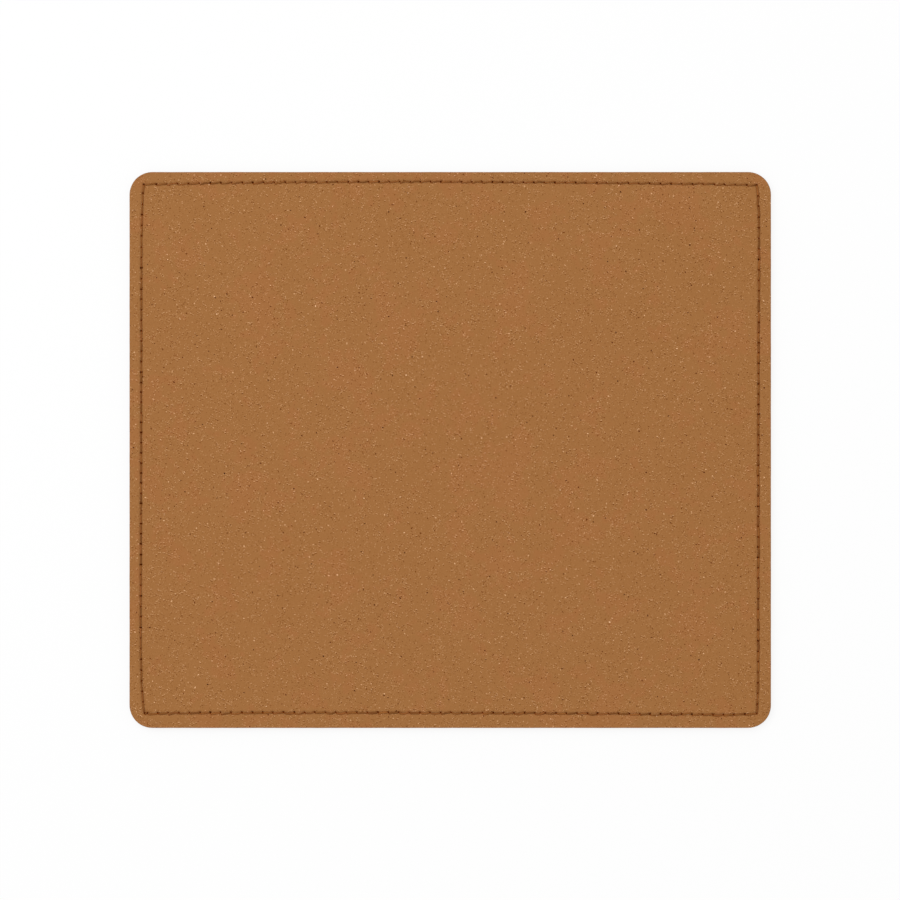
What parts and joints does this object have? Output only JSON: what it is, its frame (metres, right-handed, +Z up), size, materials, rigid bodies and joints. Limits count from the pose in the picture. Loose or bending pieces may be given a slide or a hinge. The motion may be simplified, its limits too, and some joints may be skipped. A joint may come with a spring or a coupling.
{
  "type": "mouse pad",
  "caption": "Flat rectangular mouse pad with rounded corners: a tan recycled-leather face lockstitched round its border to a foam core, on a bonded non-slip base.",
  "frame": {"origin": "middle of the underside, on the surface that the pad lies on", "axes": "+X across the pad to the right along its longer side, +Y away from the user, +Z up out of the leather face"},
  "size_m": [0.225, 0.195, 0.0032],
  "materials": {
    "tan_leather": "matt recycled leather, tan with fine light fibre flecks and a few dark specks",
    "core_foam": "dense closed-cell foam, dark brown, cut edge",
    "grip_rubber": "matt non-slip sheet, near black, finely embossed",
    "brown_thread": "twisted bonded sewing thread, brown"
  },
  "bodies": {
    "root": {"grip_base": "grip_rubber", "foam_core": "core_foam", "leather_top": "tan_leather", "needle_thread": "brown_thread", "bobbin_thread": "brown_thread"}
  },
  "joints": []
}
